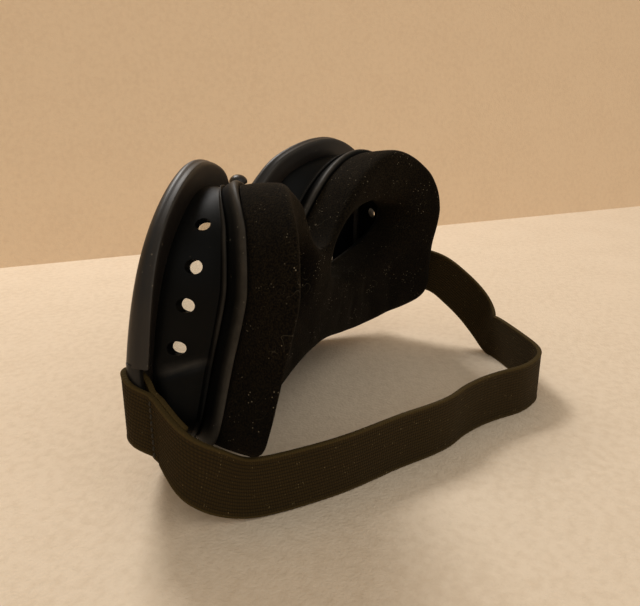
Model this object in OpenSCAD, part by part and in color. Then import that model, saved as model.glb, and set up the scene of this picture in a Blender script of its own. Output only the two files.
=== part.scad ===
// Soft-frame goggles with an elastic head strap, standing upside down on the brow edge.
// +X is the wearer's right, +Y runs back to the face, +Z is up as the goggles stand.
// The origin is the middle of the brow edge that they stand on.

/* [Front rim] */
// Half of the rim's width, centre to temple
rim_half = 92; // [88:0.5:96]
// Height of the rim's two cheek lobes above the brow edge
rim_top = 99; // [95:0.5:104]
// Half length of the straight brow edge
brow_half = 46; // [40:0.5:50]
// Distance from the centre to the top of a lobe
lobe_x = 54.5; // [50:0.5:58]
// Height of the rim at the bottom of the nose notch
notch_z = 76; // [70:0.5:80]
// Depth of the rim from its front face to its rear face
rim_depth = 8; // [7:0.25:10]
// How far the rim stands proud of the wall behind it
rim_proud = 8; // [7.5:0.25:9]
// Width of the rim's inner lip that frames the lens
rim_lip = 3; // [2.5:0.25:4]
// How far the temples of the rim sit behind its centre
rim_wrap = 26.5; // [20:0.5:32]
// How far the lobes' tops lean back behind the middle of the rim
rim_bow = 15; // [10:0.5:18]

/* [Lens] */
// Thickness of the lens
lens_thick = 1.8; // [1.5:0.1:2.4]
// Thickness of the soft strip behind the lens
seal_thick = 1.2; // [1:0.1:1.6]
// How far the lens reaches into its groove
lens_bite = 2.6; // [2:0.1:3.4]

/* [Wall] */
// Thickness of the soft wall
wall_thick = 2; // [1.6:0.1:2.6]
// Diameter of a vent hole
vent_d = 4.2; // [3.5:0.1:6]
// Number of vent holes on each side
vent_count = 4; // [2:1:4]
// Distance along the wall from its widest point to the first vent hole
vent_first = 21; // [18:0.5:28]
// Distance along the wall from one vent hole to the next
vent_pitch = 12.5; // [10:0.5:14]
// How far the ridge stands out where the wall meets the flare
ridge_h = 0.9; // [0.5:0.1:1.4]

/* [Face flange] */
// Half of the flange's width
lip_half = 81; // [78:0.5:84]
// Height of the flange's lower edge above the brow edge
lip_base = 15.5; // [12:0.5:20]
// Height of the flange's cheek lobes
lip_top = 94.5; // [90:0.5:98]
// Half length of the flange's straight brow edge
lip_brow = 44; // [38:0.5:50]
// Height of the flange at the bottom of the nose notch
lip_notch = 63; // [58:0.5:68]
// How far back from the rim's centre the flange's centre sits
lip_y0 = 23; // [18:0.5:26]
// How far the temples of the flange sit behind its centre
lip_wrap = 33; // [28:0.5:38]
// How far the flange's lower temples come forward
lip_dip = 21; // [0:1:26]
// How far the flange's lobes come forward at their tops
lip_curl = 3; // [0:0.5:4]
// How far the flange's lower edge arches up at its centre
lip_arch = 8; // [0:0.5:10]
// Thickness of the flange
flange_thick = 2; // [1.6:0.1:2.6]
// Depth of the flare from the ridge to the flange's edge
flare_depth = 4; // [3:0.5:6]
// How far the flare opens outwards over that depth
flare_out = 2.5; // [1.5:0.25:4]

/* [Face pad] */
// Thickness of the foam
foam_thick = 14.5; // [10:0.5:18]
// Thickness of the velour over the foam
velour_thick = 0.8; // [0.6:0.1:1.2]
// Distance from the centre to the middle of an eye opening
eye_x = 36.5; // [34:0.5:40]
// Height of the middle of an eye opening
eye_z = 60; // [56:0.5:62]
// Half length of an eye opening
eye_a = 26.5; // [23:0.5:28]
// Half height of an eye opening
eye_b = 14; // [12:0.5:16]
// Tilt of an eye opening, up towards the temple
eye_tilt = 13; // [4:1:14]

/* [Nose stud] */
// Diameter of the stud's head
stud_d = 7; // [5:0.2:8]
// Height of the stud over the rim
stud_h = 12; // [9:0.5:13]

/* [Strap] */
// Width of the elastic
strap_w = 20; // [18:0.5:22]
// Thickness of the elastic
strap_t = 1.6; // [1.2:0.1:1.8]
// Height of the elastic's lower edge on its bars
strap_z = 25; // [23:0.5:27]
// Diameter of the bar that a strap end loops round
bar_d = 4.4; // [4:0.1:4.8]
// Length of the stitched loop behind the middle of its bar
loop_len = 6.5; // [6:0.25:8]
// Length of the folded tail behind the loop
tail_len = 9; // [6:0.5:12]
// How steeply the right loop slopes down behind its bar
loop_drop = 36; // [0:1:40]

/* [Hidden] */

seat = 0.35;            // clearance between pieces that sit on each other
running = 0.08;         // radial clearance of a strap loop on its bar
floor_cut = 0.5;        // how much of the brow edge is cut flat to stand on
steps = 5;              // points along each stretch of an outline
edge_r = 1.2;           // rounding of the rim's edges
bow_z = 28;             // height at which the rim's face lies furthest forward
lip_rise = 9;           // how far the flange's lobes lean back
lens_front = 2.2;       // depth of the lens groove behind the rim's front face
rim_y0 = -rim_depth / 2 - rim_bow * pow(bow_z / (rim_top - bow_z), 2);
bar_r = bar_d / 2;
loop_r = bar_r + running + strap_t;
bar_x = rim_half - 3.2;
bar_gap = 3.6;           // room over and under the elastic on its bar
groove_h = lens_thick + seal_thick + 2 * seat;

// Smooth closed outlines, seen from the front

function mix(a, b, t) = a + (b - a) * t;
function curve(a, b, c, d, t) =
    0.5 * (2 * b + (c - a) * t + (2 * a - 5 * b + 4 * c - d) * t * t
           + (3 * b - a - 3 * c + d) * t * t * t);
function smooth_loop(pts, n = steps) =
    let (m = len(pts))
    [for (i = [0 : m - 1], s = [0 : n - 1])
        curve(pts[(i + m - 1) % m], pts[i], pts[(i + 1) % m], pts[(i + 2) % m], s / n)];
function both_halves(half) =
    concat(half, [for (i = [len(half) - 2 : -1 : 1]) [-half[i][0], half[i][1]]]);

// The half outlines from the brow's centre round the temple to the nose notch
rim_half_outline =
    let (base = -floor_cut, h = rim_top - base)
    [[0, base], [brow_half, base], [mix(brow_half, rim_half, 0.56), base + 0.11 * h],
     [rim_half - 0.5, base + 0.285 * h], [rim_half - 0.5, base + 0.46 * h],
     [rim_half - 9.5, base + 0.82 * h], [lobe_x, rim_top], [0.41 * lobe_x, rim_top - 5],
     [0, notch_z]];
lip_half_outline =
    let (h = lip_top - lip_base)
    [[0, lip_base + lip_arch], [lip_brow, lip_base + 0.5],
     [mix(lip_brow, lip_half, 0.6), lip_base + 0.025 * h], [lip_half, lip_base + 0.11 * h],
     [lip_half - 4.5, lip_base + 0.4 * h], [lip_half - 9.5, lip_base + 0.78 * h],
     [lobe_x, lip_top], [0.53 * lobe_x, lip_top - 8], [0, lip_notch]];
rim_outline = smooth_loop(both_halves(rim_half_outline));
lip_outline = smooth_loop(both_halves(lip_half_outline));
count = len(rim_outline);

// The outline moved inwards by d
function inset(outline, d) =
    let (m = len(outline))
    [for (i = [0 : m - 1])
        let (t = outline[(i + 1) % m] - outline[(i + m - 1) % m], l = norm(t))
        outline[i] + d * [-t[1], t[0]] / l];

// Depths of the rim's front face and of the flange's front face at a point of the outline
function rim_y(p) =
    rim_y0 + rim_wrap * pow(p[0] / rim_half, 2) + rim_bow * pow((p[1] - bow_z) / (rim_top - bow_z), 2);
function lip_y(p) =
    lip_y0 - rim_depth / 2 + lip_wrap * pow(abs(p[0]) / lip_half, 3)
    + lip_rise * pow(p[1] / lip_top, 2)
    - lip_dip * pow(p[0] / lip_half, 2) * pow(max(0, 1 - p[1] / (0.72 * lip_top)), 1.25)
    - lip_curl * pow(max(0, p[1] / lip_top - 0.88) / 0.12, 1.5);
function stand(p) = [p[0], p[1], max(p[2], 0)];
function rim_row(d, y) =
    let (o = inset(rim_outline, d))
    [for (q = o) stand([q[0], rim_y(q) + y, q[1]])];
function lip_row(d, y) =
    let (o = inset(lip_outline, d))
    [for (q = o) [q[0], lip_y(q) + y, q[1]]];

// A closed ring: rows of points, each row a closed loop, the last row joined to the first
module ring(rows) {
    m = len(rows[0]);
    k = len(rows);
    polyhedron(
        points = [for (row = rows, p = row) p],
        faces = [for (j = [0 : k - 1], i = [0 : m - 1])
            let (a = j * m + i, b = j * m + (i + 1) % m,
                 c = ((j + 1) % k) * m + (i + 1) % m, d = ((j + 1) % k) * m + i)
            each [[a, c, b], [a, d, c]]],
        convexity = 8);
}

module outer_rim() {
    inner = rim_proud + rim_lip;
    groove = inner - lens_bite - seat;
    color([0.10, 0.10, 0.105])
    difference() {
        ring([rim_row(0, edge_r), rim_row(0, rim_depth - edge_r), rim_row(edge_r, rim_depth),
              rim_row(inner, rim_depth), rim_row(inner, lens_front + groove_h),
              rim_row(groove, lens_front + groove_h), rim_row(groove, lens_front),
              rim_row(inner, lens_front), rim_row(inner, 0), rim_row(edge_r, 0)]);
        for (side = [-1, 1]) bar_notch(side);
    }
}

bar_low = strap_z - bar_gap;
bar_len = strap_w + 2 * bar_gap;
bar_y = rim_y([bar_x, strap_z + strap_w / 2]) + rim_depth / 2;
notch_depth = rim_proud - 0.5;

// The window in the rim's outer edge that a strap bar crosses
module bar_notch(side) {
    translate([side * (rim_half + 2 - (notch_depth + 2) / 2), bar_y, bar_low + bar_len / 2])
        cube([notch_depth + 2, 3 * rim_depth, bar_len], center = true);
}

module strap_bar(side) {
    color([0.12, 0.12, 0.12])
    translate([side * bar_x, bar_y, bar_low])
        cylinder(r = bar_r, h = bar_len, $fn = 32);
}

// The lens: a curved sheet, its rings shrinking to the middle of the outline
module lens() {
    shrink = [1, 0.8, 0.6, 0.4, 0.2];
    edge = inset(rim_outline, rim_proud + rim_lip - lens_bite);
    mid = [0, (rim_top + notch_z) / 4];
    m = len(edge);
    k = len(shrink);
    front = [for (s = shrink, p = edge) let (q = mix(mid, p, s)) [q[0], rim_y(q), q[1]]];
    back = [for (p = front) p + [0, lens_thick, 0]];
    tip = [mid[0], rim_y(mid), mid[1]];
    n = m * k;
    color([0.75, 0.78, 0.78, 0.35])
    translate([0, lens_front + seat, 0])
    polyhedron(
        points = concat(front, back, [tip, tip + [0, lens_thick, 0]]),
        faces = concat(
            [for (j = [0 : k - 2], i = [0 : m - 1])
                let (a = j * m + i, b = j * m + (i + 1) % m, c = a + m, d = b + m)
                each [[a, b, d], [a, d, c], [n + a, n + d, n + b], [n + a, n + c, n + d]]],
            [for (i = [0 : m - 1])
                let (j = (i + 1) % m, a = (k - 1) * m + i, b = (k - 1) * m + j)
                each [[a, b, 2 * n], [n + b, n + a, 2 * n + 1], [i, n + i, j], [j, n + i, n + j]]]),
        convexity = 6);
}

module lens_seal() {
    inner = rim_proud + rim_lip;
    outer = inner - lens_bite;
    y = lens_front + lens_thick + 2 * seat;
    color([0.05, 0.05, 0.05])
    ring([rim_row(outer, y), rim_row(outer, y + seal_thick - seat),
          rim_row(inner, y + seal_thick - seat), rim_row(inner, y)]);
}

// A row of the wall, t of the way from the rim to the ridge
function wall_row(t, d) =
    let (a = rim_row(rim_proud + d, rim_depth + seat), b = lip_row(flare_out + d, -flare_depth))
    [for (i = [0 : count - 1])
        let (s = t * t * (3 - 2 * t))
        [mix(a[i][0], b[i][0], s), mix(a[i][1], b[i][1], t), mix(a[i][2], b[i][2], s)]];

// The point and the direction at a distance along a row, from its point i on
function along(row, i, d) =
    let (a = row[i], b = row[i + 1], l = norm(b - a))
    d > l ? along(row, i + 1, d - l) : [mix(a, b, d / l), b - a];
vent_start = 3 * steps;
vent_lean = 0.045;      // how much further back each vent hole is than the one below it

module vents() {
    for (k = [0 : vent_count - 1], side = [-1, 1]) {
        spot = along(wall_row(0.4 + vent_lean * k, wall_thick / 2), vent_start,
                     vent_first + k * vent_pitch);
        p = spot[0];
        lean = atan2(spot[1][0], spot[1][2]);
        translate([side * p[0], p[1], p[2]])
            rotate([0, side * (90 + lean), 0])
                cylinder(d = vent_d, h = 6 * wall_thick, center = true, $fn = 32);
    }
}

module frame_wall() {
    rows_out = [for (t = [0, 0.3, 0.6, 0.88]) wall_row(t, 0)];
    rows_in = [for (t = [1, 0.66, 0.33, 0]) wall_row(t, wall_thick)];
    ridge = [wall_row(0.93, -ridge_h), wall_row(1, -ridge_h)];
    color([0.08, 0.08, 0.085])
    difference() {
        ring(concat(rows_out, ridge, rows_in));
        vents();
    }
}

// The sheet behind the face, with an opening for each eye.
// Each half is a loop round its eye: along the outline, then down the centre line.
half_n = count / 2;
centre_n = 4;
function half_loop(outline) =
    concat([for (i = [0 : half_n]) outline[i]],
           [for (k = [1 : centre_n - 1]) mix(outline[half_n], outline[0], k / centre_n)]);
loop_n = half_n + centre_n;
function eye_edge(loop, grow) =
    [for (p = loop)
        let (d = p - [eye_x, eye_z], a = atan2(d[1], d[0]) - eye_tilt,
             r = 1 / sqrt(pow(cos(a) / (eye_a + grow), 2) + pow(sin(a) / (eye_b + grow), 2)))
        [eye_x, eye_z] + r * [cos(a + eye_tilt), sin(a + eye_tilt)]];

// profile: [share of the way to the eye opening, inset from the outline, depth] for each row.
// The row numbered crown lies at the depth level along the centre line.
// Rows at the shares across follow the curved sheet from the outline to the eye.
across = [0.15, 0.4, 0.7];
function eye_rows(outline, grow, profile, crown, level) =
    [for (r = [0 : len(profile) - 1])
        let (row = profile[r], edge = half_loop(inset(outline, row[1])), eye = eye_edge(edge, grow))
        [for (i = [0 : loop_n - 1])
            let (centre = i == 0 || i >= half_n,
                 q = mix(centre ? [0, edge[i][1]] : edge[i], eye[i], row[0]))
            [q[0], lip_y(q) + (centre && r == crown ? level : row[2]), q[1]]]];

// The first rows, up to the crown, are the outer side and stop at the centre line
module eye_sheet(rows, crown) {
    k = len(rows);
    m = loop_n;
    n = k * m;
    left = [for (row = rows, p = row) p];
    polyhedron(
        points = concat(left, [for (p = left) [-p[0], p[1], p[2]]]),
        faces = [for (j = [0 : k - 1], i = [0 : m - 1])
            if (j >= crown || i < half_n)
            let (a = j * m + i, b = j * m + (i + 1) % m,
                 c = ((j + 1) % k) * m + (i + 1) % m, d = ((j + 1) % k) * m + i)
            each [[a, c, b], [a, d, c], [n + a, n + b, n + c], [n + a, n + c, n + d]]],
        convexity = 8);
}

module face_flange() {
    inner = flare_out + wall_thick;
    front = -flare_depth + seat;
    profile = concat([[0, inner, 0], [0, inner, front], [0, flare_out, front], [0, 0, 0],
                      [0, 0, flange_thick]],
                     [for (s = across) [s, 0, flange_thick]],
                     [[1, 0, flange_thick], [1, inner, 0]],
                     [for (k = [len(across) - 1 : -1 : 0]) [across[k], inner, 0]]);
    color([0.09, 0.09, 0.095])
    eye_sheet(eye_rows(lip_outline, 1, profile, 4, flange_thick), 4);
}

pad_base = flange_thick + seat;
pad_in = 1.4;
cover_room = 0.9;       // room between the foam's crown and its cover
// The pad's section: a drawn-in foot, a swelling side and a crowned face
function pad_profile(base, thick, in) =
    [[0, pad_in + in, base], [0, in, base + 0.62 * thick], [0.1, in, base + 0.93 * thick],
     [0.5, in, base + thick], [0.9, in, base + 0.9 * thick], [1, in, base + 0.6 * thick],
     [1, in, base]];

module pad_foam() {
    skin = velour_thick + seat;
    foot = [for (k = [len(across) - 1 : -1 : 0]) [across[k], pad_in + skin, pad_base]];
    profile = concat(pad_profile(pad_base, foam_thick, skin), foot);
    color([0.16, 0.16, 0.16])
    eye_sheet(eye_rows(lip_outline, skin, profile, 1, pad_base + 0.97 * foam_thick), 1);
}

module pad_velour() {
    out_thick = foam_thick + velour_thick + cover_room;
    in_thick = foam_thick + cover_room;
    rows_out = eye_rows(lip_outline, 0, pad_profile(pad_base, out_thick, 0),
                        1, pad_base + 0.97 * out_thick);
    rows_in = eye_rows(lip_outline, velour_thick, pad_profile(pad_base, in_thick, velour_thick),
                       1, pad_base + 0.97 * in_thick);
    color([0.05, 0.05, 0.05])
    cover(rows_out, rows_in);
}

// A skin between an outer and an inner set of rows, open at the foot
module cover(rows_out, rows_in) {
    k = len(rows_out);
    m = loop_n;
    n = k * m;
    left = concat([for (row = rows_out, p = row) p], [for (row = rows_in, p = row) p]);
    all = 2 * n;
    function quad(a, b, c, d) = [[a, c, b], [a, d, c]];
    skin = [for (j = [0 : k - 2], i = [0 : m - 1])
        if (j > 0 || i < half_n)
        let (a = j * m + i, b = j * m + (i + 1) % m, c = b + m, d = a + m)
        each concat(quad(a, b, c, d), quad(n + b, n + a, n + d, n + c))];
    outer_foot = [for (i = [0 : half_n - 1]) each quad(i + 1, i, n + i, n + i + 1)];
    inner_foot = [for (i = [0 : m - 1])
        let (a = (k - 1) * m + i, b = (k - 1) * m + (i + 1) % m)
        each quad(a, b, n + b, n + a)];
    one = concat(skin, outer_foot, inner_foot);
    polyhedron(
        points = concat(left, [for (p = left) [-p[0], p[1], p[2]]]),
        faces = concat(one, [for (f = one) [all + f[0], all + f[2], all + f[1]]]),
        convexity = 8);
}

// The round-headed stud at the bottom of the nose notch
module nose_stud() {
    stem = 0.55 * stud_d;
    head = 0.4 * stud_d;
    color([0.07, 0.06, 0.05])
    translate([0, rim_y([0, notch_z]) + rim_depth / 2, notch_z + 2 * seat])
    rotate_extrude($fn = 32)
        polygon(concat([[0, 0], [stem / 2, 0], [stem / 2, stud_h - head - 1],
                        [stud_d / 2, stud_h - head - 0.4]],
                       [for (a = [0 : 15 : 90]) [stud_d / 2 * cos(a), stud_h - head + head * sin(a)]]));
}

half_t = strap_t + 0.15;  // half the thickness of two layers of the elastic

// A strap end: the elastic folded round its bar and stitched to itself, sloping down by drop
module strap_loop(side, drop) {
    color([0.26, 0.24, 0.16])
    translate([side * bar_x, bar_y, strap_z + strap_w / 2])
    intersection() {
        linear_extrude(height = 3 * strap_w, center = true)
        difference() {
            union() {
                circle(r = loop_r, $fn = 48);
                polygon([[-loop_r * 0.97, 1], [loop_r * 0.97, 1], [half_t, 4.6], [half_t, loop_len],
                         [-half_t, loop_len], [-half_t, 4.6]]);
            }
            circle(r = bar_r + running, $fn = 48);
        }
        rotate([-drop, 0, 0])
            cube([4 * loop_r, 6 * loop_len, strap_w * cos(drop)], center = true);
    }
}

stitch_r = 0.3;
stitch_pitch = 2;
stitch_y = 5.6;

module stitching(side, drop) {
    rows = floor((strap_w - 2) / stitch_pitch);
    low = strap_z + (strap_w - rows * stitch_pitch) / 2 - stitch_y * tan(drop);
    color([0.20, 0.19, 0.12])
    for (face = [-1, 1], k = [0 : rows - 1])
        translate([side * bar_x + face * (half_t + stitch_r + 0.02), bar_y + stitch_y,
                   low + k * stitch_pitch])
            cylinder(r = stitch_r, h = stitch_pitch * 0.7, $fn = 16);
}

// The strap's route from the right loop round the back to the left loop:
// across, back, and the height of its lower edge
route = [[89.5, 35.5, 11], [87, 40, 6], [82.6, 45, 2.4], [76.5, 52, 0.3], [65, 62, 0],
         [52, 71.5, 0], [33.5, 81.8, 0], [22.5, 89, 0], [13, 93.8, 0], [4, 96.2, 0], [-6, 100.5, 0],
         [-15, 106.2, 0], [-22.5, 112, 0], [-30, 115.2, 0], [-38, 116.6, 0], [-46, 114.5, 0],
         [-55, 108.5, 0], [-65, 101, 0], [-73, 94.5, 0], [-77.5, 89, 0.3], [-82, 83, 5],
         [-84, 75, 13], [-85, 66, 20], [-86, 57, 25]];
strap_gap = 0.4;        // room between a strap end and the elastic that it's part of
back = loop_len + strap_gap;
start = [bar_x, bar_y + back, strap_z - back * tan(loop_drop)];
finish = [-bar_x, bar_y + back, strap_z];
turns = concat([start, mix(start, route[0], tail_len / norm(route[0] - start))], route,
               [mix(finish, route[len(route) - 1], tail_len / norm(route[len(route) - 1] - finish)),
                finish]);
strap_steps = 3;        // points along each stretch of the strap
last_turn = len(turns) - 1;
path = concat([for (i = [0 : last_turn - 1], k = [0 : strap_steps - 1])
                  curve(turns[max(i - 1, 0)], turns[i], turns[i + 1],
                        turns[min(i + 2, last_turn)], k / strap_steps)], [finish]);
path_n = len(path);
ahead = [for (i = [0 : path_n - 1])
    let (t = i == 0 || i == path_n - 1 ? [0, i == 0 ? 1 : -1, 0]
             : path[i + 1] - path[i - 1])
    [t[0], t[1]] / norm([t[0], t[1]])];

// The direction across the elastic: upright at its ends, leaning with its path between them,
// and evened out along it
leans = [for (i = [0 : path_n - 1])
    let (t = path[min(i + 1, path_n - 1)] - path[max(i - 1, 0)], u = t / norm(t),
         k = 0.75 * min(1, i / (2 * strap_steps), (path_n - 1 - i) / (2 * strap_steps)),
         w = [0, 0, 1] - k * u[2] * u)
    w / norm(w)];
function evened(v) =
    [for (i = [0 : len(v) - 1])
        let (w = v[max(i - 1, 0)] + 2 * v[i] + v[min(i + 1, len(v) - 1)])
        i == 0 || i == len(v) - 1 ? v[i] : w / norm(w)];
rise = evened(evened(evened(leans)));

// The four corners of the elastic at a point of its path, in on the head's side by d
function ribbon(i, d, thick) =
    let (p = path[i], n = [-ahead[i][1], ahead[i][0]])
    [for (c = [[d, 0], [d + thick, 0], [d + thick, 1], [d, 1]])
        let (q = p + c[1] * strap_w * rise[i]) [q[0] + n[0] * c[0], q[1] + n[1] * c[0], q[2]]];

module band(first, last, d, thick) {
    n = last - first + 1;
    polyhedron(
        points = [for (i = [first : last]) each ribbon(i, d, thick)],
        faces = concat(
            [for (i = [0 : n - 2], c = [0 : 3])
                let (a = 4 * i + c, b = 4 * i + (c + 1) % 4)
                each [[a, b + 4, b], [a, a + 4, b + 4]]],
            [[0, 1, 2], [0, 2, 3], [4 * n - 4, 4 * n - 2, 4 * n - 3], [4 * n - 4, 4 * n - 1, 4 * n - 2]]),
        convexity = 8);
}

module strap() {
    color([0.26, 0.24, 0.16])
    union() {
        band(0, path_n - 1, -half_t, strap_t);
        band(0, strap_steps, half_t - strap_t, strap_t);
        band(path_n - 1 - strap_steps, path_n - 1, half_t - strap_t, strap_t);
    }
}

outer_rim();
lens();
lens_seal();
frame_wall();
face_flange();
pad_foam();
pad_velour();
nose_stud();
strap_bar(-1);  // strap_bar_left
strap_bar(1);  // strap_bar_right
strap_loop(-1, 0);  // strap_loop_left
strap_loop(1, loop_drop);  // strap_loop_right
stitching(-1, 0);  // stitching_left
stitching(1, loop_drop);  // stitching_right
strap();
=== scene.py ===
"""Soft-frame goggles standing on their brow edge, with the elastic head strap behind them.

Sizes are in millimetres, as in the part's source, and the meshes are in metres.
"""

import logging
import math
from collections.abc import Callable, Iterator, Sequence
from contextlib import contextmanager
from dataclasses import dataclass
from enum import Enum

import bpy
import numpy as np
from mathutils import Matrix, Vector, noise


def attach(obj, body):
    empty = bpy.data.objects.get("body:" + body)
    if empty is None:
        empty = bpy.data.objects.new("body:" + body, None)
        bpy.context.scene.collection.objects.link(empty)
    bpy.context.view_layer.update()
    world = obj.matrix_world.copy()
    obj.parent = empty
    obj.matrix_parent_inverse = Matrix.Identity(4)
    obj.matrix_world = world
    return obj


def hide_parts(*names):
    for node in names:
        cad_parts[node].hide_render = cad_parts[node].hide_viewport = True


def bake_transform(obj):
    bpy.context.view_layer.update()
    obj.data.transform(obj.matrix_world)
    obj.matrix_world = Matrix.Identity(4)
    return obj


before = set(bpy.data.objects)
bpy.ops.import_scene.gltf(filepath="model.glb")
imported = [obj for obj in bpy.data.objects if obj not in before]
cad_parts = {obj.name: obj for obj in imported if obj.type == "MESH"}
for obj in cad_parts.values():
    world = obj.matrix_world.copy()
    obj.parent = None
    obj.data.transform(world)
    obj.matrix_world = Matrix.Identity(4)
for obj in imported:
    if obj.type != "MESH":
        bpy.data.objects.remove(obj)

LOG = logging.getLogger("goggles")
MM = 0.001
SEAT = 0.35  # The room between pieces that touch

Rgb = tuple[float, float, float]
Spot = tuple[float, float, float]
Flat = tuple[float, float]
Grid = np.ndarray
Piece = bpy.types.Object
Material = bpy.types.Material
Depth = Callable[[Grid], Grid]


class Side(Enum):
    """The wearer's sides; the value is the sign of X there."""

    RIGHT = 1
    LEFT = -1


class Coordinates(Enum):
    """What a pattern is laid out on."""

    PLACE = "Object"
    CLOTH = "UV"


# ---- Curves and rows of points ----


def mix(a: Grid | float, b: Grid | float, t: Grid | float) -> Grid | float:
    """Returns the value t of the way from a to b."""
    return a + (b - a) * t


def ramp(value: Grid, low: float, high: float) -> Grid:
    """Returns 0 up to low, 1 from high, and a straight line between."""
    return np.clip((value - low) / (high - low), 0, 1)


def band(value: Grid, centre: float, reach: float) -> Grid:
    """Returns 1 at the centre, falling to 0 at reach to either side."""
    return np.clip(1 - np.abs(value - centre) / reach, 0, 1)


def eased(t: Grid | float) -> Grid | float:
    """Returns t, from 0 to 1, with a soft start and end."""
    return t * t * (3 - 2 * t)


def unit(rows: Grid) -> Grid:
    """Returns each row at a length of 1."""
    return rows / np.linalg.norm(rows, axis=1, keepdims=True)


def travelled(points: Grid) -> Grid:
    """Returns how far along a line of points each one lies."""
    return np.concatenate([[0], np.cumsum(np.linalg.norm(np.diff(points, axis=0), axis=1))])


def evened(points: Grid, times: int) -> Grid:
    """Returns a line of points evened out that many times, with its ends held."""
    points = points.copy()
    for _ in range(times):
        points[1:-1] = 0.5 * points[1:-1] + 0.25 * (points[:-2] + points[2:])
    return points


def disc(x: float, y: float, z: float, r: float, count: int) -> Grid:
    """Returns a level circle of places."""
    a = np.linspace(0, 2 * math.pi, count, endpoint=False)
    return np.stack([x + r * np.cos(a), y + r * np.sin(a), np.full(count, z)], 1)


def spline(a: Grid, b: Grid, c: Grid, d: Grid, t: Grid) -> Grid:
    """Returns the points at t on the smooth stretch from b to c."""
    return 0.5 * (2 * b + (c - a) * t + (2 * a - 5 * b + 4 * c - d) * t * t
                  + (3 * b - a - 3 * c + d) * t ** 3)


def smooth_loop(points: Sequence[Flat], steps: int, ease: int) -> Grid:
    """Runs a closed curve through points.

    Args:
        points: The corners of the curve.
        steps: Points along each stretch.
        ease: How often neighbouring points are evened out.

    Returns:
        The curve's points, one a row.
    """
    corner = np.asarray(points, float)
    count = len(corner)
    t = (np.arange(steps) / steps)[:, None]
    loop = np.vstack([spline(*(corner[(i + k) % count] for k in (-1, 0, 1, 2)), t)
                      for i in range(count)])
    for _ in range(ease):
        loop = 0.5 * loop + 0.25 * (np.roll(loop, 1, 0) + np.roll(loop, -1, 0))
    return loop


def open_curve(points: Sequence[Sequence[float]], steps: int) -> Grid:
    """Runs an open curve through points, with steps points along each stretch."""
    corner = np.asarray(points, float)
    last = len(corner) - 1
    t = (np.arange(steps) / steps)[:, None]
    rows = [spline(corner[max(i - 1, 0)], corner[i], corner[i + 1], corner[min(i + 2, last)], t)
            for i in range(last)]
    return np.vstack([*rows, corner[last:]])


def inset(loop: Grid, distance: float) -> Grid:
    """Returns the closed loop moved inwards by distance."""
    along = unit(np.roll(loop, -1, 0) - np.roll(loop, 1, 0))
    return loop + distance * np.stack([-along[:, 1], along[:, 0]], 1)


def nearest(points: Grid, loop: Grid) -> Grid:
    """Returns each point's distance to the closest point of a loop."""
    return np.linalg.norm(points[:, None, :] - loop[None, :, :], axis=2).min(1)


def both_halves(half: Sequence[Flat]) -> list[Flat]:
    """Returns a half outline with its mirror image after it."""
    return [*half, *((-x, z) for x, z in half[-2:0:-1])]


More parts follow.
